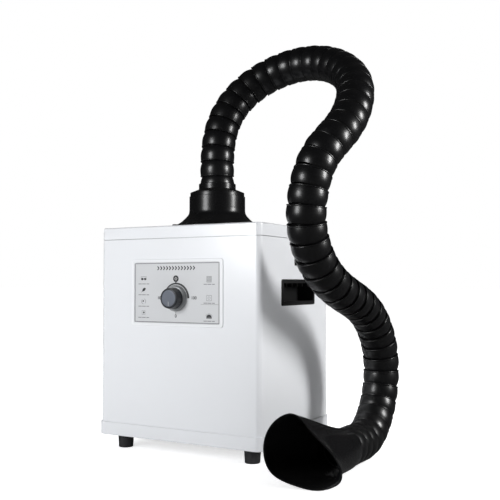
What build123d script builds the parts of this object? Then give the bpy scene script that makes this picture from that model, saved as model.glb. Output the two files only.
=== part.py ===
from build123d import *
from math import cos, pi, radians, sin
import os

# Bench-top solder fume extractor: a sheet-steel cabinet with filters and a blower
# inside, and a self-supporting duct of ball-jointed cups that ends in a hood.
# Millimetres, +Z up. The origin is the middle of the cabinet's four feet, on the bench.
# -Y is the front with the speed knob, +X is the side with the power switch.

# ---- driving dimensions ----
cabinet_width = 320
cabinet_depth = 260
cabinet_top = 385
foot_height = 25
sheet = 1.5
corner_radius = 9
cover_height = 21
seam = 0.8
tray_height = 22
tray_proud = 2

foot_radius = 14
foot_inset = 32
screw_hole = 1.8
cover_screw_xs = (-110, 0, 110)
cover_screw_z = 374.5

label_width, label_height, label_z = 172, 102, 272
bezel_width, bezel_height = 184, 112
knob_z = 263
knob_radius, knob_skirt_radius = 17.25, 21.8

handle_length, handle_height = 128, 44
handle_y, handle_z, handle_depth = 6, 272.5, 30
switch_width, switch_height = 25, 31
switch_y, switch_z = 4, 333.5
rocker_pin_x, rocker_pin_radius = -2, 1.5

rear_panel_width, rear_panel_height, rear_panel_z = 270, 290, 195
vent_slots, vent_pitch, vent_width, vent_height = 11, 11, 150, 5
vent_x, vent_z = 35, 95
inlet_x, inlet_z = -92, 82
inlet_screw_xs = (-20, 20)

port_radius = 50.6
port_flange_radius = 90
gasket = 1
collar_radius, collar_bore = 33.5, 31.2

filter_width, filter_depth = 240, 200
filter_shelf_z = 296
blower_radius, blower_z_low, blower_z_high = 92, 112, 190
impeller_radius = 76

# Duct cups: each cup is a dome that the next cup wraps round, from outside and inside.
link_pitch = 26
dome_radius = 30.75
dome_wall = 1.6
cup_gap = 0.3
cup_wall = 1.7
dome_edge_angle = 57
slot_end_angle = 38.5
skirt_edge_angle = 62
web_angle = 3.5
lip_radius = 29.5
links_per_section = 3
link_count = 52

duct_base = (0, 0, 467)
duct_route = [
    duct_base,
    (0, 0, 515),
    (3, 10, 570),
    (16, 27, 614),
    (45, 45, 650),
    (92, 57, 675),
    (139, 58, 683),
    (190, 48, 676),
    (237, 25, 652),
    (269, -6, 618),
    (284, -44, 576),
    (281, -87, 528),
    (262, -127, 482),
    (251, -145, 430),
    (246, -144, 384),
    (247, -124, 337),
    (254, -83, 295),
    (262, -32, 270),
    (269, 22, 249),
    (273, 69, 214),
    (275, 94, 169),
    (275, 98, 129),
    (274, 87, 88),
    (274, 59, 55),
    (275, 15, 34),
    (276, -34, 33),
    (278, -78, 33),
]

# Hood mouth: outline points from its middle, to the right and up, facing out of the mouth.
hood_mouth_x, hood_mouth_y = 267, -205
hood_mouth_normal = Vector(0.2, -0.977, 0.07)
hood_outline = [
    (-21, 52),
    (-45, 36),
    (-57, 2),
    (-46, -31),
    (-12, -47),
    (36, -49),
    (57, -34),
    (46, -3),
    (12, 31),
]
hood_wall = 2.2
hood_neck_radius = 31.5
hood_sections = 5
hood_points_round = 24

os.makedirs("parts", exist_ok=True)


def save(name, *solids):
    pieces = list(solids)
    export_step(pieces[0] if len(pieces) == 1 else Compound(pieces), f"parts/{name}.step")


def block(x_low, x_high, y_low, y_high, z_low, z_high):
    middle = ((x_low + x_high) / 2, (y_low + y_high) / 2, (z_low + z_high) / 2)
    return Pos(*middle) * Box(x_high - x_low, y_high - y_low, z_high - z_low)


def rounded_block(width, depth, z_low, z_high, radius):
    outline = Pos(0, 0, z_low) * RectangleRounded(width, depth, radius)
    return extrude(outline, z_high - z_low)


def upright_cylinder(radius, z_low, z_high, x=0, y=0):
    return Pos(x, y, (z_low + z_high) / 2) * Cylinder(radius, z_high - z_low)


def along_y(radius, y_low, y_high, x, z):
    return Pos(x, (y_low + y_high) / 2, z) * Rot(90, 0, 0) * Cylinder(radius, y_high - y_low)


def along_x(radius, x_low, x_high, y, z):
    return Pos((x_low + x_high) / 2, y, z) * Rot(0, 90, 0) * Cylinder(radius, x_high - x_low)


def front_plate(width, height, y_low, y_high, x, z, radius):
    outline = Plane.XZ * RectangleRounded(width, height, radius)
    return Pos(x, y_high, z) * extrude(outline, y_high - y_low)


def side_plate(width, height, x_low, x_high, y, z, radius):
    outline = Plane.YZ * RectangleRounded(width, height, radius)
    return Pos(x_low, y, z) * extrude(outline, x_high - x_low)


def spun(points):
    """A solid turned about Z from (radius, z) corners."""
    return revolve(make_face(Plane.XZ * Polyline(*points, close=True)), Axis.Z)


def pan_screw(head_radius, head_height, length):
    """A screw along -Z whose head sits on z = 0."""
    head = upright_cylinder(head_radius, 0, head_height)
    head = fillet(head.edges().group_by(Axis.Z)[-1], head_height * 0.45)
    slot = block(-head_radius * 0.62, head_radius * 0.62, -0.45, 0.45, head_height * 0.45, 9)
    cross = Rot(0, 0, 90) * slot
    return head - slot - cross + upright_cylinder(head_radius * 0.5, -length, 0)


half_width, half_depth = cabinet_width / 2, cabinet_depth / 2
tray_floor = foot_height + sheet
case_top = cabinet_top - cover_height - seam


# ---- cabinet sheet metal ----
def case_shell():
    shell = rounded_block(cabinet_width, cabinet_depth, tray_floor, case_top, corner_radius)
    shell -= rounded_block(
        cabinet_width - 2 * sheet,
        cabinet_depth - 2 * sheet,
        tray_floor - 1,
        case_top + 1,
        corner_radius - sheet,
    )
    shell -= along_y(5, -half_depth - 5, -half_depth + 5, 0, knob_z)
    for side in (-1, 1):
        cut = side_plate(handle_length - 8, handle_height - 8, -6, 6, handle_y, handle_z, 3)
        shell -= Pos(side * half_width, 0, 0) * cut
    hole = side_plate(switch_width - 3, switch_height - 3, -6, 6, switch_y, switch_z, 0.8)
    shell -= Pos(half_width, 0, 0) * hole
    shell -= front_plate(
        rear_panel_width - 24,
        rear_panel_height - 24,
        half_depth - 6,
        half_depth + 6,
        0,
        rear_panel_z,
        4,
    )
    return shell - [along_y(screw_hole, 99, 199, x, z) for x, z in rear_screw_places()]


def top_cover():
    cover = rounded_block(
        cabinet_width, cabinet_depth, cabinet_top - cover_height, cabinet_top, corner_radius
    )
    cover = fillet(cover.edges().group_by(Axis.Z)[-1], 3)
    cover -= rounded_block(
        cabinet_width - 2 * sheet,
        cabinet_depth - 2 * sheet,
        0,
        cabinet_top - sheet,
        corner_radius - sheet,
    )
    return cover - upright_cylinder(port_radius - 4, 0, 999) - cover_screw_holes()


def cover_screw_holes():
    return [along_y(screw_hole, 99, 199, x, cover_screw_z) for x in cover_screw_xs]


def upper_frame():
    """The angle ring inside the seam that the cover sits on."""
    width, depth = cabinet_width - 2 * sheet - 0.6, cabinet_depth - 2 * sheet - 0.6
    low, high = case_top - 12, cabinet_top - sheet
    ring = rounded_block(width, depth, low, high, corner_radius - sheet - 0.3)
    ring -= rounded_block(width - 3, depth - 3, low + sheet, high + 1, corner_radius - 2 * sheet - 0.3)
    ring -= rounded_block(width - 36, depth - 36, low - 1, high + 1, 4)
    return ring - cover_screw_holes()


def base_tray():
    width, depth = cabinet_width + 2 * tray_proud, cabinet_depth + 2 * tray_proud
    radius = corner_radius + tray_proud
    tray = rounded_block(width, depth, foot_height, foot_height + tray_height, radius)
    tray = fillet(tray.edges().group_by(Axis.Z)[0], 1.2)
    tray -= rounded_block(
        cabinet_width + 0.4, cabinet_depth + 0.4, tray_floor, 99, corner_radius + 0.2
    )
    return tray - [upright_cylinder(2.6, 0, 99, *p) for p in foot_places()]


def foot_places():
    return [
        (sx * (half_width - foot_inset), sy * (half_depth - foot_inset))
        for sx in (-1, 1)
        for sy in (-1, 1)
    ]


def rubber_foot():
    foot = spun(
        [
            (0, 0),
            (foot_radius - 2, 0),
            (foot_radius - 1.4, 0.8),
            (foot_radius, foot_height),
            (0, foot_height),
        ]
    )
    foot -= upright_cylinder(6.5, -1, 8)
    return foot - upright_cylinder(2.6, -1, 99)


def rear_panel():
    y_low, y_high = half_depth, half_depth + 1.2
    panel = front_plate(rear_panel_width, rear_panel_height, y_low, y_high, 0, rear_panel_z, 5)
    for i in range(vent_slots):
        z = vent_z + (i - (vent_slots - 1) / 2) * vent_pitch
        panel -= front_plate(vent_width, vent_height, y_low - 5, y_high + 5, vent_x, z, 2.4)
    panel -= front_plate(28.6, 21, y_low - 5, y_high + 5, inlet_x, inlet_z, 3)
    panel -= [along_y(1.8, 99, 199, inlet_x + x, inlet_z) for x in inlet_screw_xs]
    return panel - [along_y(screw_hole, 99, 199, x, z) for x, z in rear_screw_places()]


def rear_screw_places():
    x, z = rear_panel_width / 2 - 6, rear_panel_height / 2 - 6
    return [(sx * x, rear_panel_z + sz * z) for sx in (-1, 1) for sz in (-1, 0, 1)]


save("case_shell", case_shell())
save("top_cover", top_cover())
save("upper_frame", upper_frame())
save("base_tray", base_tray())
save("rubber_feet", *[Pos(x, y, 0) * rubber_foot() for x, y in foot_places()])
foot_screw = pan_screw(5, 3, 22)
save("foot_screws", *[Pos(x, y, 8) * Rot(180, 0, 0) * foot_screw for x, y in foot_places()])
save("rear_panel", rear_panel())
rear_screw = Rot(-90, 0, 0) * pan_screw(3.5, 2.2, 5)
save(
    "rear_panel_screws",
    *[Pos(x, half_depth + 1.2, z) * rear_screw for x, z in rear_screw_places()],
)
save(
    "cover_screws",
    *[Pos(x, half_depth, cover_screw_z) * rear_screw for x in cover_screw_xs],
)


# ---- carrying handles in the sides ----
def handle(side):
    """A moulded finger pocket: a thin flange on the steel and a tub behind it."""
    tub_length, tub_height = handle_length - 9, handle_height - 9
    flange = side_plate(handle_length, handle_height, 0, 1.6, 0, 0, 3)
    flange = fillet(flange.edges().group_by(Axis.X)[-1], 0.8)
    tub = side_plate(tub_length, tub_height, -handle_depth, 0, 0, 0, 3)
    pocket = side_plate(tub_length - 4, tub_height - 4, 2 - handle_depth, 9, 0, 0, 2)
    body = flange + tub - pocket
    rib = block(-handle_depth + 2, -2, -0.8, 0.8, tub_height / 2 - 8, tub_height / 2 - 1.5)
    body += [Pos(0, y, 0) * rib for y in (-40, -20, 0, 20, 40)]
    turn = Rot(0, 0, 0) if side > 0 else Rot(0, 0, 180)
    return Pos(side * half_width, handle_y, handle_z) * turn * body


save("handle_right", handle(1))
save("handle_left", handle(-1))


# ---- control panel ----
def label_bezel():
    y = -half_depth
    frame = front_plate(bezel_width, bezel_height, y - 1.2, y, 0, label_z, 5)
    frame = fillet(frame.edges().group_by(Axis.Y)[0], 0.7)
    return frame - front_plate(label_width, label_height, y - 5, y + 1, 0, label_z, 3)


def label_plate():
    y = -half_depth
    plate = front_plate(label_width - 0.4, label_height - 0.4, y - 0.8, y, 0, label_z, 2.8)
    return plate - along_y(5.5, y - 5, y + 5, 0, knob_z)


def speed_potentiometer():
    inner = -half_depth + sheet
    body = along_y(8.5, inner, inner + 9, 0, knob_z)
    bush = along_y(3.8, -half_depth - 4.5, inner, 0, knob_z)
    lugs = [Pos(x, inner + 6, knob_z - 10) * Box(2, 0.8, 8) for x in (-5, 0, 5)]
    return body + bush + lugs - along_y(3.25, -half_depth - 9, inner + 7, 0, knob_z)


def potentiometer_nut():
    y = -half_depth - 0.8
    nut = Pos(0, y, knob_z) * extrude(Plane.XZ * RegularPolygon(5.6, 6), 2.4)
    return nut - along_y(3.85, y - 5, y + 5, 0, knob_z)


def potentiometer_shaft():
    return along_y(3, -half_depth - 15, -half_depth + 7.5, 0, knob_z)


def knob_skirt():
    """The grey dished disc below the cap, turned about the shaft."""
    corners = [(0, 0), (knob_skirt_radius, 0), (knob_skirt_radius, 2), (19.5, 5.5), (0, 5.5)]
    disc = spun(corners) - upright_cylinder(3, -1, 9)
    disc -= upright_cylinder(9, -1, 3.6)
    return disc


def control_knob():
    cap = spun([(0, 0), (knob_radius + 0.6, 0), (knob_radius - 0.5, 15), (0, 15)])
    cap = fillet(cap.edges().group_by(Axis.Z)[-1], 1.8)
    for i in range(24):
        groove = upright_cylinder(0.9, 1.5, 11.5, knob_radius + 0.75, 0)
        cap -= Rot(0, 0, i * 15) * groove
    cap -= Pos(0, knob_radius - 5, 15) * Box(1.6, 9, 1.2)
    return cap - upright_cylinder(3, -1, 7.9)


knob_face = Pos(0, -half_depth - 1.6, knob_z) * Rot(90, 0, 0)
save("label_bezel", label_bezel())
save("label_plate", label_plate())
save("speed_potentiometer", speed_potentiometer())
save("potentiometer_nut", potentiometer_nut())
save("potentiometer_shaft", potentiometer_shaft())
save("knob_skirt", knob_face * knob_skirt())
save("control_knob", knob_face * Pos(0, 0, 5.5) * control_knob())


# ---- power switch ----
def rocker_housing():
    flange = side_plate(switch_width, switch_height, 0, 2, 0, 0, 1.5)
    flange = fillet(flange.edges().group_by(Axis.X)[-1], 0.8)
    body = side_plate(switch_width - 3.4, switch_height - 3.4, -22, 0, 0, 0, 0.6)
    cavity = side_plate(switch_width - 7, switch_height - 7, -12, 9, 0, 0, 0.6)
    pins = [Pos(-26, 0, z) * Box(8, 5, 0.8) for z in (-8, 0, 8)]
    bearing = Pos(rocker_pin_x, 0, 0) * Rot(90, 0, 0) * Cylinder(rocker_pin_radius + 0.06, 99)
    return Pos(half_width, switch_y, switch_z) * (flange + body + pins - cavity - bearing)


def rocker():
    """A two-way rocker that tips about a pin along Y, 2 mm inside the flange."""
    length, reach = switch_height - 10.4, switch_width - 8
    profile = Plane.XZ * make_face(
        Polyline(
            (-3, -length / 2),
            (1.2, -length / 2),
            (0.2, 0),
            (3.4, length / 2),
            (-1, length / 2),
            (-6, 3),
            (-6, -3),
            close=True,
        )
    )
    tipper = Pos(0, reach / 2, 0) * extrude(profile, reach)
    tipper = fillet(tipper.edges().filter_by(Axis.Y).group_by(Axis.X)[-1], 0.8)
    pin = Pos(rocker_pin_x, 0, 0) * Rot(90, 0, 0) * Cylinder(rocker_pin_radius, reach + 3.2)
    return Pos(half_width, switch_y, switch_z) * (tipper + pin)


save("rocker_housing", rocker_housing())
save("rocker", rocker())


# ---- mains inlet at the back ----
def power_inlet():
    flange = front_plate(49, 23, 0, 2.6, 0, 0, 4)
    flange = fillet(flange.edges().group_by(Axis.Y)[-1], 0.8)
    body = front_plate(27.6, 20, -24, 0, 0, 0, 2.5)
    cavity = front_plate(24, 16.4, -15, 9, 0, 0, 2)
    inlet = flange + body - cavity
    inlet += [Pos(x, -9, z) * Box(2, 13, 4) for x, z in ((-7, -2), (0, 2.5), (7, -2))]
    inlet -= [along_y(1.8, -9, 9, x, 0) for x in inlet_screw_xs]
    return Pos(inlet_x, half_depth + 1.2, inlet_z) * inlet


save("power_inlet", power_inlet())
inlet_screw = Rot(-90, 0, 0) * pan_screw(3.1, 1.8, 3.5)
inlet_face = half_depth + 1.2 + 2.6
save(
    "power_inlet_screws",
    *[Pos(inlet_x + x, inlet_face, inlet_z) * inlet_screw for x in inlet_screw_xs],
)


# ---- filters, blower and electronics inside ----
def filter_shelf():
    width, depth = cabinet_width - 2 * sheet - 0.4, cabinet_depth - 2 * sheet - 0.4
    shelf = rounded_block(width, depth, filter_shelf_z, filter_shelf_z + sheet, corner_radius - sheet)
    return shelf - upright_cylinder(62, 0, 999)


def filter_frame(z_low, z_high, wall):
    frame = rounded_block(filter_width, filter_depth, z_low, z_high, 3)
    return frame - rounded_block(
        filter_width - 2 * wall, filter_depth - 2 * wall, z_low - 1, z_high + 1, 1
    )


def hepa_pleats(z_low, z_high):
    """The folded paper: one zigzag strip between the frame's walls."""
    folds, reach, paper = 28, filter_width / 2 - 5.5, 1.2
    step = 2 * reach / folds
    top = [(-reach + i * step, z_high if i % 2 else z_low + paper) for i in range(folds + 1)]
    bottom = [(x, z - paper) for x, z in reversed(top)]
    strip = make_face(Plane.XZ * Polyline(*top, *bottom, close=True))
    return extrude(strip, filter_depth / 2 - 5, both=True)


def carbon_cells(z_low, z_high):
    core = rounded_block(filter_width - 10.4, filter_depth - 10.4, z_low, z_high, 1)
    holes = [
        upright_cylinder(6, z_low - 1, z_high + 1, 22 * (i - 4.5), 22 * (j - 3.5))
        for i in range(10)
        for j in range(8)
    ]
    return core - holes


filter_low = filter_shelf_z + sheet
save("filter_shelf", filter_shelf())
save("carbon_filter_frame", filter_frame(filter_low, filter_low + 22, 5))
save("carbon_filter_core", carbon_cells(filter_low, filter_low + 22))
save("hepa_filter_frame", filter_frame(filter_low + 22, filter_low + 60, 4.8))
save("hepa_filter_pleats", hepa_pleats(filter_low + 24, filter_low + 58))
save("pre_filter", rounded_block(filter_width, filter_depth, filter_low + 60, filter_low + 70, 3))


def inlet_cone():
    low, high = blower_z_high, filter_shelf_z
    return spun([(48, low), (50, low), (66, high - 1.5), (75, high - 1.5), (75, high), (63, high)])


def blower_housing():
    outlet_low, outlet_high = 8, 88
    reach = half_depth - sheet - 1
    outer = upright_cylinder(blower_radius, blower_z_low, blower_z_high)
    outer += block(outlet_low, outlet_high, 0, reach, blower_z_low, blower_z_high)
    inner = upright_cylinder(blower_radius - 2, blower_z_low + 2, blower_z_high - 2)
    inner += block(
        outlet_low + 2, outlet_high - 2, 0, reach + 5, blower_z_low + 2, blower_z_high - 2
    )
    return outer - inner - upright_cylinder(48, 150, 999) - upright_cylinder(14, 0, 150)


def impeller():
    low, high = blower_z_low + 8, blower_z_high - 8
    wheel = upright_cylinder(impeller_radius, low, low + 2) + upright_cylinder(12, low, low + 24)
    rim = upright_cylinder(impeller_radius, high - 2, high)
    wheel += rim - upright_cylinder(50, low, high + 1)
    blade = Pos(62, 0, (low + high) / 2) * Rot(0, 0, 32) * Box(26, 1.6, high - low - 2)
    wheel += [Rot(0, 0, i * 15) * blade for i in range(24)]
    return wheel - upright_cylinder(4, 0, 999)


def motor():
    can = fillet(upright_cylinder(38, 46, blower_z_low).edges(), 3)
    can += upright_cylinder(11, 40, 46)
    return can - upright_cylinder(4.3, 43, 999)


save("inlet_cone", inlet_cone())
save("blower_housing", blower_housing())
save("impeller", impeller())
save("motor", motor())
save("motor_shaft", upright_cylinder(4, 50, blower_z_low + 30))
post_places = [(sx * 60, sy * 60) for sx in (-1, 1) for sy in (-1, 1)]
save("blower_posts", *[upright_cylinder(6, tray_floor, blower_z_low, *p) for p in post_places])


def control_board():
    board = block(-140, -80, -70, 20, 34, 35.6)
    board += block(-136, -112, -64, -38, 35.6, 55)
    board += upright_cylinder(7, 35.6, 60, -96, -50)
    board += block(-130, -104, -14, 14, 35.6, 50)
    legs = [upright_cylinder(3, tray_floor, 34, x, y) for x in (-136, -84) for y in (-66, 16)]
    return board + legs


save("control_board", control_board())


# ---- duct port on the cover ----
port_low = cabinet_top + gasket
port_shoulder, port_lip, port_top = 421, 444, 450
cap_top, collar_top = 457.6, 468


def port_flange():
    """The flared cast ring that bolts to the cover, with a smooth concave skirt."""
    outline = [
        Line((port_radius - 3, port_low), (port_flange_radius, port_low)),
        Line((port_flange_radius, port_low), (port_flange_radius, port_low + 3)),
        Spline(
            (port_flange_radius, port_low + 3),
            (67, 397),
            (56, 407),
            (port_radius, port_shoulder),
            tangents=((-1, 0.12), (0, 1)),
        ),
        Line((port_radius, port_shoulder), (port_radius, port_lip)),
        Line((port_radius, port_lip), (port_radius - 1.6, port_lip)),
        Line((port_radius - 1.6, port_lip), (port_radius - 1.6, port_top)),
        Line((port_radius - 1.6, port_top), (port_radius - 3, port_top)),
        Line((port_radius - 3, port_top), (port_radius - 3, port_low)),
    ]
    ring = revolve(make_face(Plane.XZ * Curve(outline)), Axis.Z)
    holes = [upright_cylinder(2.6, 0, 999, *p) for p in flange_screw_places()]
    recess = [upright_cylinder(5.6, port_low + 4.2, 999, *p) for p in flange_screw_places()]
    return ring - holes - recess


def flange_screw_places():
    turns = [radians(45 + 90 * i) for i in range(4)]
    return [(78 * cos(a), 78 * sin(a)) for a in turns]


def reducer_cap():
    """The cone that closes the port down to the duct's swivel collar."""
    return spun(
        [
            (port_radius - 3.3, port_top - 14),
            (port_radius - 3.3, port_top + 0.2),
            (port_radius - 1.6, port_top + 0.2),
            (port_radius - 1.6, port_top + 1.2),
            (collar_radius, cap_top),
            (collar_radius, collar_top - 0.8),
            (collar_radius - 0.8, collar_top),
            (collar_bore, collar_top),
            (collar_bore, cap_top - 2.6),
            (port_radius - 5.3, port_top - 1.4),
            (port_radius - 5.3, port_top - 14),
        ]
    )


def flange_gasket():
    ring = upright_cylinder(port_flange_radius - 2, cabinet_top, port_low)
    ring -= upright_cylinder(port_radius - 2, 0, 999)
    return ring - [upright_cylinder(2.6, 0, 999, *p) for p in flange_screw_places()]


save("flange_gasket", flange_gasket())
save("port_flange", port_flange())
flange_screw = pan_screw(4.6, 3, 4.6)
save(
    "port_flange_screws",
    *[Pos(*p, port_low + 4.2) * flange_screw for p in flange_screw_places()],
)
save("reducer_cap", reducer_cap())


# ---- ball-jointed duct ----
def on_sphere(centre, radius, angle):
    """(radius, height) of a point on a sphere round (0, centre), angle from the axis."""
    return radius * sin(radians(angle)), centre + radius * cos(radians(angle))


def arc(centre, radius, first, last):
    return ThreePointArc(
        on_sphere(centre, radius, first),
        on_sphere(centre, radius, (first + last) / 2),
        on_sphere(centre, radius, last),
    )


def joined(curves):
    """The curves in order, with straight lines across the gaps between them."""
    edges = []
    for one, following in zip(curves, curves[1:] + curves[:1]):
        edges.append(one)
        if (one @ 1 - following @ 0).length > 1e-6:
            edges.append(Line(one @ 1, following @ 0))
    return make_face(Plane.XZ * Curve(edges))


def dome_curves(behind_angle):
    """The outside and inside of a dome round the joint centre at the origin."""
    inner_radius = dome_radius - dome_wall
    return [
        arc(0, dome_radius, 90, dome_edge_angle),
        arc(0, inner_radius, dome_edge_angle, behind_angle),
    ]


def socket_curves(back):
    """The slot that takes the dome before it, whose joint centre is at the height back."""
    skirt_inner = dome_radius + cup_gap
    hook_outer = dome_radius - dome_wall - cup_gap
    end = slot_end_angle
    return [
        arc(back, skirt_inner + cup_wall, skirt_edge_angle - 2, end - web_angle),
        arc(back, hook_outer - cup_wall + 0.2, end - web_angle, skirt_edge_angle),
        arc(back, hook_outer, skirt_edge_angle, end),
        arc(back, skirt_inner, end, skirt_edge_angle),
    ]


def duct_cup():
    """One cup with its joint to the next cup at the origin and +Z along the duct."""
    lip = (lip_radius, on_sphere(-link_pitch, dome_radius, skirt_edge_angle)[1])
    outside = ThreePointArc(lip, (dome_radius - 0.3, lip[1] / 2), (dome_radius, 0))
    return revolve(joined([*dome_curves(84), *socket_curves(-link_pitch), outside]), Axis.Z)


def joint_centres():
    """Points on the duct's route that lie one pitch apart, measured straight."""
    route = Spline(*duct_route)
    centres, place = [route @ 0], 0.0
    for _ in range(link_count):
        low, high = place, min(1.0, place + 2.5 * link_pitch / route.length)
        for _ in range(40):
            middle = (low + high) / 2
            if (route @ middle - centres[-1]).length < link_pitch:
                low = middle
            else:
                high = middle
        place = high
        centres.append(route @ place)
    return centres


centres = joint_centres()
link_planes = [
    Plane(origin=there, z_dir=there - here) for here, there in zip(centres, centres[1:])
]
cup = duct_cup()
section_count = link_count // links_per_section
for section in range(section_count):
    first = section * links_per_section
    last = link_count if section == section_count - 1 else first + links_per_section
    cups = [plane * cup for plane in link_planes[first:last]]
    save(f"duct_section_{section + 1:02d}", *cups)


def duct_spigot():
    """The first dome, on a tube that turns in the collar and is held by a ring below it."""
    low = 446 - duct_base[2]
    tube = [
        Line((dome_radius - 2, -4), (dome_radius - 2, low)),
        Line((dome_radius + 2.6, low), (dome_radius + 2.6, low + 2)),
        Line((dome_radius, low + 2), (dome_radius, 0)),
    ]
    return Pos(*duct_base) * revolve(joined([*dome_curves(84), *tube]), Axis.Z)


save("duct_spigot", duct_spigot())


# ---- hood ----
neck_plane = Plane(origin=centres[-1], z_dir=link_planes[-1].z_dir)
hood_start, neck_reach = 22, 30


def hood_neck():
    """The last socket, with a plain tube that the hood is pushed over."""
    tube_radius = hood_neck_radius - hood_wall - 0.4
    tube = [
        Line((lip_radius, 15), (lip_radius, 20)),
        Line((tube_radius, 20), (tube_radius, neck_reach)),
        Line((tube_radius - 1.8, neck_reach), (tube_radius - 1.8, 20)),
    ]
    return neck_plane * revolve(joined([*socket_curves(0), *tube]), Axis.Z)


hood_curve = Spline(*hood_outline, periodic=True)
hood_points = [
    (p.X, p.Y) for p in [hood_curve @ (i / hood_points_round) for i in range(hood_points_round)]
]


def hood_section(share, inset):
    """The hood's outline at a share of the way from its neck to its mouth."""
    normal = hood_mouth_normal.normalized()
    right = Vector(0, 0, 1).cross(normal).normalized()
    up = normal.cross(right)
    lowest = min(y for _, y in hood_points)
    mouth = Vector(hood_mouth_x, hood_mouth_y, 0.2 - lowest * up.Z)
    start = neck_plane.origin + neck_plane.z_dir * hood_start
    third = (mouth - start).length / 3
    spine = Bezier(start, start + neck_plane.z_dir * third, mouth - normal * third, mouth)
    centre, axis = spine @ share, spine % share
    side = up.cross(axis).normalized()
    over = axis.cross(side).normalized()
    if side.dot(right) < 0:
        side = side * -1
    growth = share**1.25
    points = []
    for x, y in hood_points:
        length = (x * x + y * y) ** 0.5
        scale = hood_neck_radius / length * (1 - growth) + growth - inset / length
        points.append(centre + side * (x * scale) + over * (y * scale))
    return points, centre, axis


def hood_loft(inset, overrun):
    faces = []
    for i in range(hood_sections):
        share = i / (hood_sections - 1)
        points, centre, axis = hood_section(share, inset)
        if overrun and i in (0, hood_sections - 1):
            push = axis * (overrun if i else -overrun)
            points = [p + push for p in points]
        faces.append(make_face(Spline(*points, periodic=True)))
    return loft(faces)


save("hood_neck", hood_neck())
save("hood", hood_loft(0, 0) - hood_loft(hood_wall, 0.5))

print(link_count, "cups; joint centres between the sections:")
for centre in centres[::links_per_section]:
    print([round(v, 2) for v in centre])
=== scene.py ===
import math

import bmesh
import bpy
import numpy
from mathutils import Matrix, Vector


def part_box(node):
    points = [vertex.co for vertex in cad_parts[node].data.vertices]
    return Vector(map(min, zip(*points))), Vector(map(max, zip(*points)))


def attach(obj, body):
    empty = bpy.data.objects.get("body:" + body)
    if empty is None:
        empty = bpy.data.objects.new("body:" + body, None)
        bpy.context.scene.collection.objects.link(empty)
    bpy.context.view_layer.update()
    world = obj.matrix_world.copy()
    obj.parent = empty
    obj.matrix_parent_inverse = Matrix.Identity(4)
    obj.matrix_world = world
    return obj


# A bench-top solder fume extractor: white sheet-steel cabinet, printed dial plate,
# ball-jointed black duct and hood. Metres, -Y is the front.

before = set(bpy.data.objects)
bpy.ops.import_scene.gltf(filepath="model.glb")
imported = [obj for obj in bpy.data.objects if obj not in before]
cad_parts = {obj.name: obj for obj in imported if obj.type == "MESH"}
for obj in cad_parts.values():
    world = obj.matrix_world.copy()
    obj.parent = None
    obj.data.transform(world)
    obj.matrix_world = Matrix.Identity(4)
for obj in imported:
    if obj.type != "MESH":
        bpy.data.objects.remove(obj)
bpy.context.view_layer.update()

scene = bpy.context.scene
millimetre = 0.001


# camera, floor and light
cameraPlace = {
    "location": (0.7428, -1.1997, 0.289),
    "lens": 55.94,
    "tilt": 92.4,
    "turn": 29.35,
}


def makeCamera():
    camera = bpy.data.objects.new("camera", bpy.data.cameras.new("camera"))
    scene.collection.objects.link(camera)
    camera.location = cameraPlace["location"]
    camera.rotation_euler = (math.radians(cameraPlace["tilt"]), 0, math.radians(cameraPlace["turn"]))
    camera.data.lens = cameraPlace["lens"]
    camera.data.clip_end = 60
    scene.camera = camera


studio = {
    "floorSize": 60,
    "floorTone": (0.9, 0.9, 0.905, 1),
    "floorGlow": (0.62, 1.0),
    "glowReach": (0.30, 1.10),
    "floorInGloss": 0.08,
    "fill": 0.09,
    "backdrop": 1.0,
    "drape": 0.02,
}

softboxes = {
    # name: azimuth, elevation, distance, width, height, power, colour
    "leftSoftbox": (-20, 12, 1.7, 0.50, 0.7, 19, (0.985, 0.992, 1.0)),
    "rightSoftbox": (102, 17, 1.7, 0.33, 0.6, 25, (1.0, 0.998, 0.994)),
    "topLight": (30, 75, 2.2, 1.6, 1.6, 3, (1.0, 1.0, 1.0)),
    "backLight": (215, 28, 2.0, 1.2, 1.2, 24, (1.0, 1.0, 1.0)),
}
lookAt = Vector((0.08, -0.03, 0.36))


def makeSoftbox(name, azimuth, elevation, distance, width, height, power, colour):
    lamp = bpy.data.lights.new(name, "AREA")
    lamp.shape = "RECTANGLE"
    lamp.size, lamp.size_y = width, height
    lamp.energy = power
    lamp.color = colour
    holder = bpy.data.objects.new(name, lamp)
    scene.collection.objects.link(holder)
    a, e = math.radians(azimuth), math.radians(elevation)
    away = Vector((math.sin(a) * math.cos(e), -math.cos(a) * math.cos(e), math.sin(e)))
    holder.location = lookAt + away * distance
    holder.rotation_mode = "QUATERNION"
    holder.rotation_quaternion = away.to_track_quat("Z", "Y")
    holder.visible_glossy = name.endswith("Softbox")


def makeWorld():
    # the camera sees a white sweep, glossy surfaces see dark drapes round the softboxes
    world = bpy.data.worlds.new("studio")
    scene.world = world
    world.use_nodes = True
    nodes, links = world.node_tree.nodes, world.node_tree.links
    nodes.clear()
    path = nodes.new("ShaderNodeLightPath")
    out = nodes.new("ShaderNodeOutputWorld")
    shades = []
    for tone in (studio["fill"], studio["drape"], studio["backdrop"]):
        shade = nodes.new("ShaderNodeBackground")
        shade.inputs["Color"].default_value = (1, 1, 1, 1)
        shade.inputs["Strength"].default_value = tone
        shades.append(shade)
    glossy = nodes.new("ShaderNodeMixShader")
    seen = nodes.new("ShaderNodeMixShader")
    links.new(path.outputs["Is Glossy Ray"], glossy.inputs[0])
    links.new(shades[0].outputs[0], glossy.inputs[1])
    links.new(shades[1].outputs[0], glossy.inputs[2])
    links.new(path.outputs["Is Camera Ray"], seen.inputs[0])
    links.new(glossy.outputs[0], seen.inputs[1])
    links.new(shades[2].outputs[0], seen.inputs[2])
    links.new(seen.outputs[0], out.inputs["Surface"])


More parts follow.
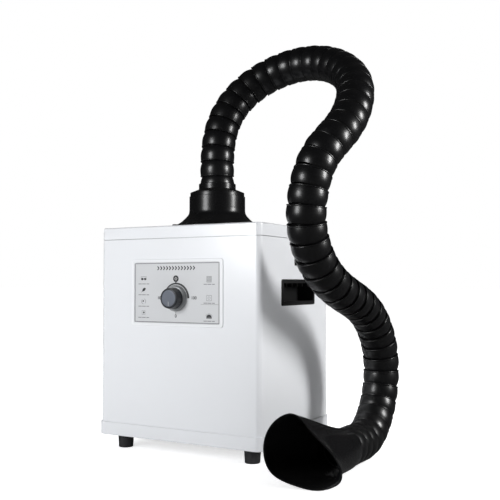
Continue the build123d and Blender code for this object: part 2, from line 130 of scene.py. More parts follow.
def makeFloor():
    sheet = bmesh.new()
    bmesh.ops.create_grid(sheet, x_segments=1, y_segments=1, size=studio["floorSize"] / 2)
    floor = meshObject("floor", sheet)
    paper = bpy.data.materials.new("floorPaper")
    paper.use_nodes = True
    nodes, links = paper.node_tree.nodes, paper.node_tree.links
    shader = nodes["Principled BSDF"]
    shader.inputs["Base Color"].default_value = studio["floorTone"]
    shader.inputs["Roughness"].default_value = 0.9
    shader.inputs["Specular IOR Level"].default_value = 0.0
    # lit paper for the eye, a darker one in reflections, so that the black parts stay black
    path = nodes.new("ShaderNodeLightPath")
    glow = nodes.new("ShaderNodeEmission")
    reach = nodes.new("ShaderNodeVectorMath")
    reach.operation = "LENGTH"
    links.new(nodes.new("ShaderNodeTexCoord").outputs["Object"], reach.inputs[0])
    rise = nodes.new("ShaderNodeMapRange")
    rise.interpolation_type = "SMOOTHSTEP"
    limits = studio["glowReach"] + studio["floorGlow"]
    for label, value in zip(("From Min", "From Max", "To Min", "To Max"), limits):
        rise.inputs[label].default_value = value
    links.new(reach.outputs["Value"], rise.inputs["Value"])
    links.new(rise.outputs[0], glow.inputs["Strength"])
    dim = nodes.new("ShaderNodeEmission")
    dim.inputs["Strength"].default_value = studio["floorInGloss"]
    lit = nodes.new("ShaderNodeAddShader")
    seen = nodes.new("ShaderNodeMixShader")
    gloss = nodes.new("ShaderNodeMixShader")
    links.new(shader.outputs[0], lit.inputs[0])
    links.new(glow.outputs[0], lit.inputs[1])
    links.new(path.outputs["Is Camera Ray"], seen.inputs[0])
    links.new(shader.outputs[0], seen.inputs[1])
    links.new(lit.outputs[0], seen.inputs[2])
    links.new(path.outputs["Is Glossy Ray"], gloss.inputs[0])
    links.new(seen.outputs[0], gloss.inputs[1])
    links.new(dim.outputs[0], gloss.inputs[2])
    links.new(gloss.outputs[0], nodes["Material Output"].inputs["Surface"])
    floor.data.materials.append(paper)


def meshObject(name, shape, material=None):
    # turns a finished bmesh into an object at the origin
    mesh = bpy.data.meshes.new(name)
    shape.to_mesh(mesh)
    shape.free()
    made = bpy.data.objects.new(name, mesh)
    scene.collection.objects.link(made)
    if material:
        mesh.materials.append(material)
    return made


makeCamera()
makeFloor()
makeWorld()
for boxName, setting in softboxes.items():
    makeSoftbox(boxName, *setting)
scene.view_settings.view_transform = "Standard"
print("studio ready")


# shared effects
def newGroup(name, takes, gives):
    group = bpy.data.node_groups.new(name, "ShaderNodeTree")
    for label, kind, value in takes:
        socket = group.interface.new_socket(label, in_out="INPUT", socket_type=kind)
        if value is not None:
            socket.default_value = value
    for label, kind in gives:
        group.interface.new_socket(label, in_out="OUTPUT", socket_type=kind)
    return group, group.nodes.new("NodeGroupInput"), group.nodes.new("NodeGroupOutput")


def joinNodes(tree, *pairs):
    for start, end in pairs:
        tree.links.new(start, end)


def mathNode(tree, operation, first=None, second=None, clamp=False):
    node = tree.nodes.new("ShaderNodeMath")
    node.operation, node.use_clamp = operation, clamp
    for socket, value in zip(node.inputs, (first, second)):
        if isinstance(value, (int, float)):
            socket.default_value = value
        elif value is not None:
            tree.links.new(value, socket)
    return node.outputs[0]


def rangeNode(tree, value, low, high, newLow, newHigh):
    node = tree.nodes.new("ShaderNodeMapRange")
    for label, given in (
        ("Value", value),
        ("From Min", low),
        ("From Max", high),
        ("To Min", newLow),
        ("To Max", newHigh),
    ):
        if isinstance(given, (int, float)):
            node.inputs[label].default_value = given
        else:
            tree.links.new(given, node.inputs[label])
    return node.outputs[0]


def noiseNode(tree, vector, scale, detail, rough=0.55):
    node = tree.nodes.new("ShaderNodeTexNoise")
    node.inputs["Detail"].default_value = detail
    node.inputs["Roughness"].default_value = rough
    tree.links.new(vector, node.inputs["Vector"])
    if isinstance(scale, (int, float)):
        node.inputs["Scale"].default_value = scale
    else:
        tree.links.new(scale, node.inputs["Scale"])
    return node.outputs["Fac"]


def makeGrainGroup():
    # fine texture of a moulded or painted skin, with slower patches under it
    group, given, out = newGroup(
        "surfaceGrain",
        [("Scale", "NodeSocketFloat", 900.0), ("Patch Scale", "NodeSocketFloat", 9.0)],
        [("Grain", "NodeSocketFloat"), ("Patches", "NodeSocketFloat")],
    )
    place = group.nodes.new("ShaderNodeTexCoord").outputs["Object"]
    grain = noiseNode(group, place, given.outputs["Scale"], 2)
    patches = noiseNode(group, place, given.outputs["Patch Scale"], 3)
    joinNodes(group, (grain, out.inputs["Grain"]), (patches, out.inputs["Patches"]))
    return group


def makeWornEdgeGroup():
    # rounded edges in the shading, and a broken mask along them where hands and tools rub
    group, given, out = newGroup(
        "wornEdge",
        [("Radius", "NodeSocketFloat", 0.0006), ("Break Up", "NodeSocketFloat", 140.0)],
        [("Edge", "NodeSocketFloat"), ("Normal", "NodeSocketVector")],
    )
    rounded = group.nodes.new("ShaderNodeBevel")
    rounded.samples = 6
    flat = group.nodes.new("ShaderNodeNewGeometry")
    same = group.nodes.new("ShaderNodeVectorMath")
    same.operation = "DOT_PRODUCT"
    place = group.nodes.new("ShaderNodeTexCoord").outputs["Object"]
    joinNodes(
        group,
        (given.outputs["Radius"], rounded.inputs["Radius"]),
        (rounded.outputs["Normal"], same.inputs[0]),
        (flat.outputs["Normal"], same.inputs[1]),
        (rounded.outputs["Normal"], out.inputs["Normal"]),
    )
    turned = rangeNode(group, same.outputs["Value"], 0.98, 0.80, 0.0, 1.0)
    broken = rangeNode(group, noiseNode(group, place, given.outputs["Break Up"], 4), 0.42, 0.62, 0.0, 1.0)
    edge = mathNode(group, "MULTIPLY", turned, broken, clamp=True)
    joinNodes(group, (edge, out.inputs["Edge"]))
    return group


def makeDustGroup():
    # a thin veil on faces that look up, thicker in patches
    group, given, out = newGroup(
        "settledDust",
        [("Amount", "NodeSocketFloat", 0.2), ("Scale", "NodeSocketFloat", 40.0)],
        [("Dust", "NodeSocketFloat")],
    )
    place = group.nodes.new("ShaderNodeTexCoord").outputs["Object"]
    facing = group.nodes.new("ShaderNodeNewGeometry")
    split = group.nodes.new("ShaderNodeSeparateXYZ")
    joinNodes(group, (facing.outputs["Normal"], split.inputs[0]))
    up = rangeNode(group, split.outputs["Z"], 0.55, 1.0, 0.0, 1.0)
    patches = rangeNode(group, noiseNode(group, place, given.outputs["Scale"], 5), 0.35, 0.75, 0.2, 1.0)
    veil = mathNode(group, "MULTIPLY", mathNode(group, "MULTIPLY", up, patches), given.outputs["Amount"])
    joinNodes(group, (veil, out.inputs["Dust"]))
    return group


def makeScratchGroup():
    # hairline marks: noise drawn out along one direction
    group, given, out = newGroup(
        "hairlines",
        [("Scale", "NodeSocketFloat", 60.0), ("Stretch", "NodeSocketVector", (1.0, 1.0, 22.0))],
        [("Lines", "NodeSocketFloat")],
    )
    place = group.nodes.new("ShaderNodeTexCoord").outputs["Object"]
    drawn = group.nodes.new("ShaderNodeVectorMath")
    drawn.operation = "MULTIPLY"
    joinNodes(group, (place, drawn.inputs[0]), (given.outputs["Stretch"], drawn.inputs[1]))
    lines = noiseNode(group, drawn.outputs[0], given.outputs["Scale"], 3, 0.7)
    joinNodes(group, (lines, out.inputs["Lines"]))
    return group


grainGroup = makeGrainGroup()
wornEdgeGroup = makeWornEdgeGroup()
dustGroup = makeDustGroup()
scratchGroup = makeScratchGroup()
print("shared effects ready")


# finishes
def useGroup(tree, group, **values):
    node = tree.nodes.new("ShaderNodeGroup")
    node.node_tree = group
    for label, value in values.items():
        node.inputs[label.replace("_", " ")].default_value = value
    return node


def mixColour(tree, share, first, second):
    node = tree.nodes.new("ShaderNodeMix")
    node.data_type = "RGBA"
    tree.links.new(share, node.inputs["Factor"])
    for label, colour in (("A", first), ("B", second)):
        socket = [s for s in node.inputs if s.name == label and s.type == "RGBA"][0]
        if isinstance(colour, tuple):
            socket.default_value = (*colour, 1)
        else:
            tree.links.new(colour, socket)
    return [s for s in node.outputs if s.type == "RGBA"][0]


def moulded(name, look):
    # one skin for paint, plastic, rubber and metal: patches of tone, grain, dust, hairlines and worn edges
    material = bpy.data.materials.new(name)
    material.use_nodes = True
    tree = material.node_tree
    shader = tree.nodes["Principled BSDF"]
    grain = useGroup(tree, grainGroup, Scale=look["grainScale"], Patch_Scale=look.get("patchScale", 9.0))
    edge = useGroup(tree, wornEdgeGroup, Radius=look["edgeRadius"], Break_Up=look.get("breakUp", 140.0))
    dust = useGroup(tree, dustGroup, Amount=look.get("dust", 0.1), Scale=look.get("dustScale", 60.0))
    colour = look["colour"]
    shade = tuple(c * look.get("patchShade", 0.9) for c in colour)
    tone = mixColour(tree, rangeNode(tree, grain.outputs["Patches"], 0.1, 0.9, 0.0, 1.0), colour, shade)
    worn = mathNode(tree, "MULTIPLY", edge.outputs["Edge"], look.get("wear", 0.15), clamp=True)
    tone = mixColour(tree, worn, tone, look.get("wornColour", colour))
    tone = mixColour(tree, dust.outputs["Dust"], tone, look.get("dustColour", (0.55, 0.53, 0.5)))
    rough = rangeNode(tree, grain.outputs["Patches"], 0.1, 0.9, look["roughness"][0], look["roughness"][1])
    height = grain.outputs["Grain"]
    if "hairlines" in look:
        lines = useGroup(tree, scratchGroup, Scale=look["hairlines"][0], Stretch=look["hairlines"][1])
        height = mathNode(tree, "ADD", height, lines.outputs["Lines"])
        rough = mathNode(tree, "ADD", rough, rangeNode(tree, lines.outputs["Lines"], 0.3, 0.7, -0.06, 0.08))
    rough = mathNode(tree, "ADD", rough, mathNode(tree, "MULTIPLY", dust.outputs["Dust"], 0.4), clamp=True)
    bump = tree.nodes.new("ShaderNodeBump")
    bump.inputs["Strength"].default_value = look.get("bump", 0.1)
    bump.inputs["Distance"].default_value = look.get("bumpDepth", 0.0002)
    joinNodes(
        tree,
        (tone, shader.inputs["Base Color"]),
        (rough, shader.inputs["Roughness"]),
        (height, bump.inputs["Height"]),
        (edge.outputs["Normal"], bump.inputs["Normal"]),
        (bump.outputs["Normal"], shader.inputs["Normal"]),
    )
    shader.inputs["Metallic"].default_value = look.get("metallic", 0.0)
    shader.inputs["Coat Weight"].default_value = look.get("coat", 0.0)
    shader.inputs["Coat Roughness"].default_value = look.get("coatRoughness", 0.1)
    shader.inputs["IOR"].default_value = look.get("ior", 1.5)
    shader.inputs["Specular IOR Level"].default_value = look.get("specular", 0.5)
    shader.inputs["Sheen Weight"].default_value = look.get("sheen", 0.0)
    return material


finishes = {
    "body_paint": {
        "colour": (0.80, 0.815, 0.84),
        "patchShade": 0.985,
        "patchScale": 4.0,
        "roughness": (0.27, 0.27),
        "grainScale": 520.0,
        "bump": 0.06,
        "edgeRadius": 0.0012,
        "wear": 0.05,
        "wornColour": (0.92, 0.92, 0.92),
        "dust": 0.05,
        "coat": 0.35,
        "coatRoughness": 0.16,
    },
    "frame_steel": {
        "colour": (0.52, 0.53, 0.55),
        "patchShade": 0.78,
        "patchScale": 26.0,
        "roughness": (0.28, 0.46),
        "grainScale": 300.0,
        "bump": 0.08,
        "edgeRadius": 0.0004,
        "metallic": 0.9,
        "wear": 0.3,
        "wornColour": (0.75, 0.75, 0.76),
        "hairlines": (40.0, (1.0, 18.0, 18.0)),
    },
    "screw_steel": {
        "colour": (0.62, 0.62, 0.64),
        "patchScale": 200.0,
        "roughness": (0.18, 0.30),
        "grainScale": 2500.0,
        "bump": 0.06,
        "edgeRadius": 0.00025,
        "metallic": 1.0,
        "wear": 0.4,
        "wornColour": (0.85, 0.85, 0.86),
    },
    "flange_screw_black": {
        "colour": (0.035, 0.035, 0.038),
        "patchScale": 200.0,
        "roughness": (0.25, 0.38),
        "grainScale": 2500.0,
        "bump": 0.08,
        "edgeRadius": 0.00025,
        "metallic": 0.6,
        "wear": 0.5,
        "wornColour": (0.35, 0.35, 0.36),
    },
    "foot_rubber": {
        "colour": (0.022, 0.022, 0.024),
        "patchShade": 0.75,
        "patchScale": 60.0,
        "roughness": (0.62, 0.78),
        "grainScale": 1400.0,
        "bump": 0.35,
        "edgeRadius": 0.0008,
        "wear": 0.25,
        "wornColour": (0.07, 0.07, 0.07),
        "dust": 0.2,
    },
    "duct_plastic": {
        "colour": (0.0045, 0.0045, 0.005),
        "patchShade": 0.8,
        "patchScale": 14.0,
        "roughness": (0.27, 0.34),
        "grainScale": 1500.0,
        "bump": 0.02,
        "edgeRadius": 0.0007,
        "wear": 0.10,
        "wornColour": (0.03, 0.03, 0.032),
        "specular": 0.45,
        "dust": 0.012,
        "dustScale": 90.0,
    },
    "port_plastic": {
        "colour": (0.005, 0.005, 0.0055),
        "patchShade": 0.8,
        "patchScale": 14.0,
        "roughness": (0.24, 0.30),
        "grainScale": 1500.0,
        "bump": 0.03,
        "edgeRadius": 0.0009,
        "wear": 0.12,
        "wornColour": (0.035, 0.035, 0.036),
        "specular": 0.34,
        "dust": 0.015,
    },
    "hood_plastic": {
        "colour": (0.006, 0.006, 0.0066),
        "patchShade": 0.8,
        "patchScale": 11.0,
        "roughness": (0.16, 0.24),
        "grainScale": 1500.0,
        "bump": 0.02,
        "edgeRadius": 0.0010,
        "wear": 0.15,
        "wornColour": (0.03, 0.03, 0.032),
        "dust": 0.012,
    },
    "fitting_plastic": {
        "colour": (0.006, 0.006, 0.0066),
        "patchShade": 0.85,
        "patchScale": 30.0,
        "roughness": (0.34, 0.46),
        "grainScale": 2200.0,
        "bump": 0.22,
        "edgeRadius": 0.0006,
        "wear": 0.2,
        "wornColour": (0.06, 0.06, 0.062),
        "dust": 0.02,
    },
    "switch_plastic": {
        "colour": (0.010, 0.010, 0.011),
        "patchScale": 60.0,
        "roughness": (0.16, 0.24),
        "grainScale": 2200.0,
        "bump": 0.04,
        "edgeRadius": 0.0005,
        "wear": 0.3,
        "wornColour": (0.05, 0.05, 0.052),
    },
    "knob_cap_plastic": {
        "colour": (0.016, 0.018, 0.023),
        "patchShade": 0.9,
        "patchScale": 60.0,
        "roughness": (0.26, 0.34),
        "grainScale": 2600.0,
        "bump": 0.08,
        "edgeRadius": 0.0006,
        "wear": 0.25,
        "wornColour": (0.07, 0.075, 0.085),
    },
    # knob front disc: a lighter copy of the dark cap tone, painted light standing in for the lamp light on
    # the knob's front face
    "knob_face_painted_light": {
        "colour": (0.125, 0.14, 0.172),
        "patchShade": 0.92,
        "patchScale": 60.0,
        "roughness": (0.30, 0.38),
        "grainScale": 2600.0,
        "bump": 0.06,
        "edgeRadius": 0.0003,
        "metallic": 0.25,
        "wear": 0.2,
        "wornColour": (0.2, 0.21, 0.24),
        "hairlines": (30.0, (6.0, 6.0, 6.0)),
    },
    "knob_skirt_plastic": {
        "colour": (0.32, 0.33, 0.34),
        "patchShade": 0.92,
        "patchScale": 60.0,
        "roughness": (0.30, 0.42),
        "grainScale": 2600.0,
        "bump": 0.08,
        "edgeRadius": 0.0005,
        "metallic": 0.35,
        "wear": 0.3,
        "wornColour": (0.45, 0.46, 0.48),
    },
    "label_film": {
        "colour": (0.585, 0.595, 0.61),
        "patchShade": 0.975,
        "patchScale": 12.0,
        "roughness": (0.38, 0.38),
        "grainScale": 3200.0,
        "bump": 0.05,
        "edgeRadius": 0.0003,
        "wear": 0.1,
        "wornColour": (0.8, 0.8, 0.8),
    },
    "bezel_plastic": {
        "colour": (0.80, 0.812, 0.835),
        "patchShade": 0.985,
        "patchScale": 12.0,
        "roughness": (0.32, 0.32),
        "grainScale": 1800.0,
        "bump": 0.05,
        "edgeRadius": 0.0006,
        "wear": 0.05,
        "wornColour": (0.93, 0.93, 0.93),
    },
    "potentiometer_metal": {
        "colour": (0.5, 0.5, 0.52),
        "patchScale": 80.0,
        "roughness": (0.26, 0.40),
        "grainScale": 1200.0,
        "bump": 0.08,
        "edgeRadius": 0.0003,
        "metallic": 0.95,
        "wear": 0.3,
        "wornColour": (0.8, 0.8, 0.8),
    },
    "filter_board": {
        "colour": (0.42, 0.31, 0.19),
        "patchShade": 0.82,
        "patchScale": 30.0,
        "roughness": (0.78, 0.92),
        "grainScale": 700.0,
        "bump": 0.45,
        "edgeRadius": 0.0006,
        "wear": 0.4,
        "wornColour": (0.6, 0.5, 0.36),
        "hairlines": (50.0, (14.0, 1.0, 14.0)),
    },
    "filter_paper": {
        "colour": (0.86, 0.86, 0.82),
        "patchShade": 0.93,
        "patchScale": 24.0,
        "roughness": (0.82, 0.95),
        "grainScale": 1500.0,
        "bump": 0.5,
        "edgeRadius": 0.0004,
        "wear": 0.1,
        "sheen": 0.1,
    },
    "carbon_block": {
        "colour": (0.014, 0.014, 0.015),
        "patchShade": 0.6,
        "patchScale": 120.0,
        "roughness": (0.7, 0.95),
        "grainScale": 420.0,
        "bump": 0.9,
        "bumpDepth": 0.0008,
        "edgeRadius": 0.0004,
        "wear": 0.4,
        "wornColour": (0.06, 0.06, 0.06),
    },
    "filter_foam": {
        "colour": (0.17, 0.175, 0.19),
        "patchShade": 0.8,
        "patchScale": 60.0,
        "roughness": (0.85, 0.98),
        "grainScale": 500.0,
        "bump": 0.9,
        "bumpDepth": 0.0008,
        "edgeRadius": 0.0008,
        "sheen": 0.3,
    },
    "blower_plastic": {
        "colour": (0.04, 0.04, 0.043),
        "patchShade": 0.85,
        "patchScale": 30.0,
        "roughness": (0.42, 0.58),
        "grainScale": 1200.0,
        "bump": 0.25,
        "edgeRadius": 0.0007,
        "wear": 0.2,
        "wornColour": (0.12, 0.12, 0.12),
        "dust": 0.25,
    },
    "motor_aluminium": {
        "colour": (0.52, 0.52, 0.54),
        "patchShade": 0.85,
        "patchScale": 40.0,
        "roughness": (0.32, 0.48),
        "grainScale": 900.0,
        "bump": 0.2,
        "edgeRadius": 0.0006,
        "metallic": 0.95,
        "wear": 0.3,
        "wornColour": (0.75, 0.75, 0.76),
    },
    "circuit_board": {
        "colour": (0.012, 0.10, 0.045),
        "patchShade": 0.7,
        "patchScale": 150.0,
        "roughness": (0.25, 0.45),
        "grainScale": 1500.0,
        "bump": 0.2,
        "edgeRadius": 0.0003,
        "coat": 0.3,
    },
}
inks = {
    "dark_ink": (0.018, 0.019, 0.022),
    "grey_ink": (0.24, 0.245, 0.26),
    "frame_ink": (0.27, 0.275, 0.285),
    "white_ink": (0.80, 0.80, 0.80),
}
for inkName, inkTone in inks.items():
    finishes[inkName] = {
        "colour": inkTone,
        "patchShade": 0.85,
        "patchScale": 400.0,
        "roughness": (0.38, 0.5),
        "grainScale": 3500.0,
        "bump": 0.04,
        "edgeRadius": 0.00005,
        "wear": 0.15,
        "wornColour": tuple(c + 0.05 for c in inkTone),
        "dust": 0.0,
    }
finish = {slot: moulded(slot, look) for slot, look in finishes.items()}
print("finishes ready:", len(finish))


# which CAD node takes which finish
nodeSlots = {
    "body_paint": ["case_shell", "top_cover", "base_tray", "rear_panel"],
    "frame_steel": ["upper_frame", "filter_shelf", "blower_posts"],
    "screw_steel": ["rear_panel_screws", "cover_screws", "foot_screws", "power_inlet_screws", "motor_shaft"],
    "flange_screw_black": ["port_flange_screws"],
    "foot_rubber": ["rubber_feet", "flange_gasket"],
    "duct_plastic": ["duct_spigot", *sorted(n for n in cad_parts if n.startswith("duct_section"))],
    "port_plastic": ["port_flange", "reducer_cap"],
    "hood_plastic": ["hood", "hood_neck"],
    "fitting_plastic": ["handle_right", "handle_left", "power_inlet"],
    "switch_plastic": ["rocker_housing", "rocker"],
    "knob_cap_plastic": ["control_knob"],
    "knob_skirt_plastic": ["knob_skirt"],
    "label_film": ["label_plate"],
    "bezel_plastic": ["label_bezel"],
    "potentiometer_metal": ["speed_potentiometer", "potentiometer_nut", "potentiometer_shaft"],
    "filter_board": ["hepa_filter_frame", "carbon_filter_frame"],
    "filter_paper": ["hepa_filter_pleats"],
    "carbon_block": ["carbon_filter_core"],
    "filter_foam": ["pre_filter"],
    "blower_plastic": ["blower_housing", "impeller", "inlet_cone"],
    "motor_aluminium": ["motor"],
    "circuit_board": ["control_board"],
}


def dressNode(node, slot):
    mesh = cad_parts[node].data
    mesh.materials.clear()
    mesh.materials.append(finish[slot])


for slot, nodes in nodeSlots.items():
    for node in nodes:
        dressNode(node, slot)
print("CAD nodes dressed:", sum(len(n) for n in nodeSlots.values()), "of", len(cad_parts))


# dial plate print
plateLow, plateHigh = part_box("label_plate")
plateMiddle = (plateLow + plateHigh) / 2
knobLow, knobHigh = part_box("control_knob")
dialHeight = ((knobLow + knobHigh) / 2 - plateMiddle).z / millimetre  # knob axis above the plate's middle

printLook = {
    "thickness": 0.06,
    "frameInset": 0.7,
    "frameLine": 1.5,
    "leftColumn": -66.5,
    "rightColumn": 65.5,
    "leftRows": (23, 4.5, -15, -34),
    "rightRows": (22.4, -8.2, -37.4),
    "captionDrop": 8.3,
    "captionHeight": 1.3,
    "scaleInner": 23.0,
    "scaleStart": 24.9,
    "scaleEnd": 27.0,
    "titleHeight": 41.2,
    "arrowheads": 13,
    "arrowPitch": 6.0,
    "powerRadius": 5.6,
    "powerAbove": 32.4,
    "startMarkDrop": 24.6,
    "fullMarkAbove": 26.4,
    "zeroDrop": 29.8,
    "zeroSize": 7.6,
    "tenAside": 34,
    "tenSize": 7.0,
    "hundredAside": 36,
    "hundredSize": 7.2,
}


def bar(ink, u, v, width, height, turn=0):
    made = bmesh.ops.create_grid(ink, x_segments=1, y_segments=1, size=0.5)["verts"]
    place = Matrix.Translation((u, v, 0)) @ Matrix.Rotation(math.radians(turn), 4, "Z")
    bmesh.ops.transform(ink, matrix=place @ Matrix.Diagonal((width, height, 1, 1)), verts=made)


def disc(ink, u, v, width, height=None, sides=28, turn=0):
    made = bmesh.ops.create_circle(ink, cap_ends=True, segments=sides, radius=0.5)["verts"]
    place = Matrix.Translation((u, v, 0)) @ Matrix.Rotation(math.radians(turn), 4, "Z")
    bmesh.ops.transform(ink, matrix=place @ Matrix.Diagonal((width, height or width, 1, 1)), verts=made)


def band(ink, u, v, inner, outer, start, sweep, steps=36, grow=0.0):
    # a flat ring or arc, clockwise from start degrees above +u; grow widens it towards its end
    near = ink.verts.new((inner, 0, 0))
    far = ink.verts.new((outer, 0, 0))
    line = ink.edges.new((near, far))
    turn = Matrix.Rotation(math.radians(start), 4, "Z")
    bmesh.ops.transform(ink, matrix=turn, verts=[near, far])
    before = set(ink.verts) - {near, far}
    bmesh.ops.spin(
        ink, geom=[near, far, line], cent=(0, 0, 0), axis=(0, 0, -1), angle=math.radians(sweep), steps=steps
    )
    made = [vert for vert in ink.verts if vert not in before]
    for vert in made:
        if grow and vert.co.length > (inner + outer) / 2:
            along = (start - math.degrees(math.atan2(vert.co.y, vert.co.x))) % 360
            vert.co *= 1 + grow * min(along / sweep, 1.0) / outer
    bmesh.ops.translate(ink, vec=(u, v, 0), verts=made)


def numeral(ink, words, u, v, size):
    curve = bpy.data.curves.new("numeral", "FONT")
    curve.body, curve.size, curve.offset = words, size, 0.02 * size
    curve.align_x, curve.align_y = "CENTER", "CENTER"
    holder = bpy.data.objects.new("numeral", curve)
    mesh = bpy.data.meshes.new_from_object(holder)
    mesh.transform(Matrix.Translation((u, v, 0)))
    ink.from_mesh(mesh)
    bpy.data.objects.remove(holder)
    bpy.data.meshes.remove(mesh)


def finishPrint(name, ink, look, lift=0.0):
    # flat shapes drawn in millimetres become a thin film on the plate's face
    bmesh.ops.remove_doubles(ink, verts=ink.verts, dist=0.0005)
    bmesh.ops.recalc_face_normals(ink, faces=ink.faces)
    for face in ink.faces:
        if face.normal.z < 0:
            face.normal_flip()
    top = bmesh.ops.extrude_face_region(ink, geom=list(ink.faces), use_keep_orig=True)
    risen = [e for e in top["geom"] if isinstance(e, bmesh.types.BMVert)]
    bmesh.ops.translate(ink, vec=(0, 0, printLook["thickness"]), verts=risen)
    bmesh.ops.recalc_face_normals(ink, faces=ink.faces)
    stand = Matrix.Translation((plateMiddle.x, plateLow.y - lift * millimetre, plateMiddle.z))
    stand = stand @ Matrix.Rotation(math.radians(90), 4, "X") @ Matrix.Scale(millimetre, 4)
    bmesh.ops.transform(ink, matrix=stand, verts=ink.verts)
    piece = meshObject(name, ink, finish[look])
    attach(piece, "cabinet")
    return piece


def drawFrame(ink):
    width = (plateHigh.x - plateLow.x) / millimetre - 2 * printLook["frameInset"]
    height = (plateHigh.z - plateLow.z) / millimetre - 2 * printLook["frameInset"]
    line = printLook["frameLine"]
    for side in (-1, 1):
        bar(ink, 0, side * (height - line) / 2, width, line)
        bar(ink, side * (width - line) / 2, 0, line, height - 2 * line)


def drawDialMarks(ink):
    look = printLook
    growth = look["scaleEnd"] - look["scaleStart"]
    band(ink, 0, dialHeight, look["scaleInner"], look["scaleStart"], 150, 150, 60, growth)
    disc(ink, 0, dialHeight + look["powerAbove"], 2 * look["powerRadius"])
    disc(ink, 0, dialHeight + look["fullMarkAbove"], 4.2, 3.6, 3, 180)
    disc(ink, 0, dialHeight - look["startMarkDrop"], 2.6, 2.2, 3, 0)
    disc(ink, -25.6, dialHeight, 2.2, 2.2, 3, -90)
    numeral(ink, "0", 0, dialHeight - look["zeroDrop"], look["zeroSize"])
    numeral(ink, "10", -look["tenAside"], dialHeight, look["tenSize"])
    numeral(ink, "100", look["hundredAside"], dialHeight + 0.6, look["hundredSize"])


def drawTitle(ink):
    # a row of airflow arrowheads in place of words
    look = printLook
    for step in range(look["arrowheads"]):
        u = (step - (look["arrowheads"] - 1) / 2) * look["arrowPitch"]
        for side in (-1, 1):
            bar(ink, u, look["titleHeight"] + side * 1.45, 4.4, 1.9, -side * 48)


def drawLeftIcons(dark, grey):
    u, rows = printLook["leftColumn"], printLook["leftRows"]
    bar(grey, u, rows[0] + 4.0, 11, 0.7)
    for side in (-1, 1):
        disc(dark, u + side * 3.0, rows[0], 5.2, 3.9)
        bar(grey, u + side * 5.4, rows[0] + 2, 0.6, 4)
    disc(dark, u + 0.6, rows[1] + 0.6, 8.2, 4.6, 24, 38)
    bar(dark, u - 3.2, rows[1] - 2.8, 4.0, 0.7, 42)
    band(grey, u, rows[2], 3.9, 4.7, 80, 130, 20)
    band(grey, u, rows[2], 3.9, 4.7, 260, 130, 20)
    disc(dark, u - 0.8, rows[2] + 0.6, 3.4, 3.4, 5)
    band(grey, u, rows[3], 4.2, 4.9, 135, 359, 4)
    disc(dark, u + 0.5, rows[3], 3.6, 3.6, 6)


def drawRightIcons(dark, grey):
    u, rows = printLook["rightColumn"], printLook["rightRows"]
    for step in range(-2, 3):
        bar(grey, u + step * 2.2, rows[0], 0.7, 9.6)
        bar(grey, u, rows[0] + step * 2.3, 9.6, 0.7)
    for side in (-1, 1):
        bar(grey, u, rows[1] + side * 4.4, 9.6, 0.6)
        bar(grey, u + side * 4.6, rows[1], 0.6, 8.4)
    band(grey, u, rows[1], 1.8, 2.4, 90, 360, 20)
    band(dark, u, rows[2] - 2.6, 0.4, 5.2, 180, 180, 16)
    bar(dark, u, rows[2] - 3.4, 10.4, 1.2)
    band(grey, u, rows[2] - 2.6, 6.1, 6.7, 160, 140, 16)


def drawCaptions(grey):
    # plain broken rules where a maker would print a caption
    look = printLook
    for u, rows, width in (
        (look["leftColumn"], look["leftRows"], 23),
        (look["rightColumn"], look["rightRows"], 22),
    ):
        for row in rows:
            for part, share in ((-0.33, 0.3), (0.03, 0.34), (0.38, 0.24)):
                bar(grey, u + part * width, row - look["captionDrop"], share * width, look["captionHeight"])
    bar(grey, look["rightColumn"] + 1, look["rightRows"][1] - 10.4, 34, 0.5)


def printPlate():
    dark, grey, line, white = (bmesh.new() for _ in range(4))
    drawFrame(line)
    drawDialMarks(dark)
    drawTitle(dark)
    drawLeftIcons(dark, grey)
    drawRightIcons(dark, grey)
    drawCaptions(grey)
    power = dialHeight + printLook["powerAbove"]
    band(white, 0, power, 1.7, 2.3, 55, 290, 30)
    bar(white, 0, power + 1.9, 0.6, 2.6)
    finishPrint("dial_marks", dark, "dark_ink")
    finishPrint("dial_icons", grey, "grey_ink", 0.01)
    finishPrint("plate_frame_line", line, "frame_ink")
    finishPrint("power_symbol", white, "white_ink", printLook["thickness"] * 0.7)


printPlate()
print("dial plate printed")


# knob trim and switch marks
knobTrim = {
    "faceRadius": 13.6,
    "dish": 0.12,
    "proud": 0.25,
    "pointerWidth": 1.5,
    "pointerLength": 7.0,
    "pointerTurn": 180,
}


def spunShape(shape, profile, stand, steps=72):
    # profile: (radius, height) in millimetres, turned round its axis into a closed ring or disc, then placed
    verts = [shape.verts.new((r, 0, h)) for r, h in profile]
    edges = [shape.edges.new(pair) for pair in zip(verts, verts[1:])]
    before = set(shape.verts) - set(verts)
    bmesh.ops.spin(
        shape,
        geom=verts + edges,
        cent=(0, 0, 0),
        axis=(0, 0, 1),
        angle=math.radians(360),
        steps=steps,
        use_merge=True,
    )
    made = [vert for vert in shape.verts if vert not in before]
    bmesh.ops.transform(shape, matrix=stand @ Matrix.Scale(millimetre, 4), verts=made)


def closedPiece(name, shape, material, body):
    bmesh.ops.remove_doubles(shape, verts=shape.verts, dist=0.001 * millimetre)
    bmesh.ops.recalc_face_normals(shape, faces=shape.faces)
    for face in shape.faces:
        face.smooth = True
    piece = meshObject(name, shape, material)
    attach(piece, body)
    return piece


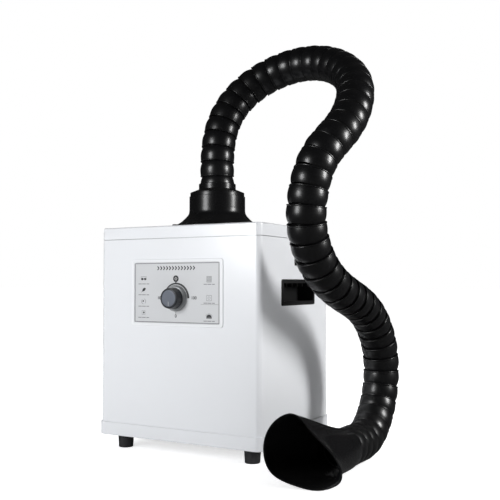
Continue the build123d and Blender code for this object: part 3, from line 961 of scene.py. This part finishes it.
def trimKnob():
    middle = (knobLow + knobHigh) / 2
    r, dish, proud = knobTrim["faceRadius"], knobTrim["dish"], knobTrim["proud"]
    profile = [
        (0, proud - dish),
        (r * 0.5, proud - dish * 0.75),
        (r * 0.8, proud - dish * 0.36),
        (r - 0.5, proud),
        (r - 0.2, proud - 0.05),
        (r, proud - 0.2),
        (r, -0.6),
        (0, -0.6),
    ]
    front = Matrix.Translation((middle.x, knobLow.y, middle.z)) @ Matrix.Rotation(math.radians(90), 4, "X")
    face = bmesh.new()
    spunShape(face, profile, front)
    # the front disc is real trim, and its lighter tone is painted light on the knob's front
    closedPiece("knob_face", face, finish["knob_face_painted_light"], "knob")

    inlay = bmesh.new()
    width, length = knobTrim["pointerWidth"], knobTrim["pointerLength"]
    place = Matrix.Translation((0, r - 1.2 - length / 2, proud - 0.1))
    bmesh.ops.create_cube(inlay, size=1)
    bmesh.ops.transform(inlay, matrix=place @ Matrix.Diagonal((width, length, 0.5, 1)), verts=inlay.verts)
    bmesh.ops.bevel(
        inlay,
        geom=inlay.edges[:],
        offset=0.16,
        offset_type="OFFSET",
        segments=2,
        profile=0.5,
        affect="EDGES",
        material=-1,
    )
    turn = Matrix.Rotation(math.radians(knobTrim["pointerTurn"]), 4, "Z")
    bmesh.ops.transform(inlay, matrix=front @ Matrix.Scale(millimetre, 4) @ turn, verts=inlay.verts)
    pointer = meshObject("knob_pointer", inlay, finish["knob_skirt_plastic"])
    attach(pointer, "knob")


trimKnob()
print("knob trimmed")

rockerMarks = {"size": 4.2, "line": 0.9, "offset": 6.6, "thickness": 0.8}


def markRocker():
    # the bar and ring of the two switch positions, printed on the rocker's two halves
    low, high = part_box("rocker")
    middle = (low + high) / 2
    look = rockerMarks
    marks = bmesh.new()
    bar(marks, 0, look["offset"], look["line"], look["size"])
    band(marks, 0, -look["offset"], look["size"] / 2 - look["line"], look["size"] / 2, 0, 360, 28)
    bmesh.ops.remove_doubles(marks, verts=marks.verts, dist=0.001)
    bmesh.ops.solidify(marks, geom=marks.faces[:], thickness=look["thickness"])
    bmesh.ops.recalc_face_normals(marks, faces=marks.faces)
    facing = Matrix.Rotation(math.radians(90), 4, "Z") @ Matrix.Rotation(math.radians(90), 4, "X")
    stand = Matrix.Translation((high.x, middle.y, middle.z)) @ facing @ Matrix.Scale(millimetre, 4)
    bmesh.ops.transform(marks, matrix=stand, verts=marks.verts)
    piece = meshObject("switch_marks", marks, finish["white_ink"])
    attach(piece, "rocker_body")


markRocker()
print("switch marked")


# duct cup beads
cupBead = {
    "lipRadius": 29.3,
    "steps": 64,
    "profile": [
        (29.3, 0.3),
        (30.1, 0.0),
        (30.55, 0.35),
        (30.7, 1.0),
        (30.6, 1.7),
        (30.3, 2.2),
        (29.6, 2.5),
        (29.3, 0.3),
    ],
}


def looseParts(shape):
    # the separate closed pieces of one mesh, as lists of points
    left, parts = set(shape.verts), []
    while left:
        waiting, part = [left.pop()], []
        while waiting:
            vert = waiting.pop()
            part.append(vert.co.copy())
            near = {e.other_vert(vert) for e in vert.link_edges} & left
            left -= near
            waiting.extend(near)
        parts.append(part)
    return parts


def cupStand(points):
    # the place and axis of a round cup: its back lip at the origin, +Z along the duct
    cloud = numpy.array(points)
    middle = cloud.mean(axis=0)
    values, axes = numpy.linalg.eigh(numpy.cov((cloud - middle).T))
    odd = 0 if values[1] - values[0] > values[2] - values[1] else 2
    axis = axes[:, odd]
    along = (cloud - middle) @ axis
    across = numpy.linalg.norm(cloud - middle - numpy.outer(along, axis), axis=1)
    wide = along[across > cupBead["lipRadius"] * millimetre]
    if wide.min() - along.min() > along.max() - wide.max():
        axis, along, wide = -axis, -along, -wide
    lip = middle + axis * wide.min()
    return Matrix.Translation(Vector(lip)) @ Vector(axis).to_track_quat("Z", "Y").to_matrix().to_4x4()


def beadCups(node, body):
    # a rolled bead round the back lip of each cup of a section
    source = bmesh.new()
    source.from_mesh(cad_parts[node].data)
    bmesh.ops.remove_doubles(source, verts=source.verts, dist=0.001 * millimetre)
    beads = bmesh.new()
    for points in looseParts(source):
        spunShape(beads, cupBead["profile"], cupStand(points), cupBead["steps"])
    source.free()
    piece = closedPiece(node.replace("duct_section", "cup_beads"), beads, finish["duct_plastic"], body)


for node in sorted(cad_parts):
    if node.startswith("duct_section"):
        beadCups(node, node.replace("duct_section", "duct"))
print("duct cups beaded")
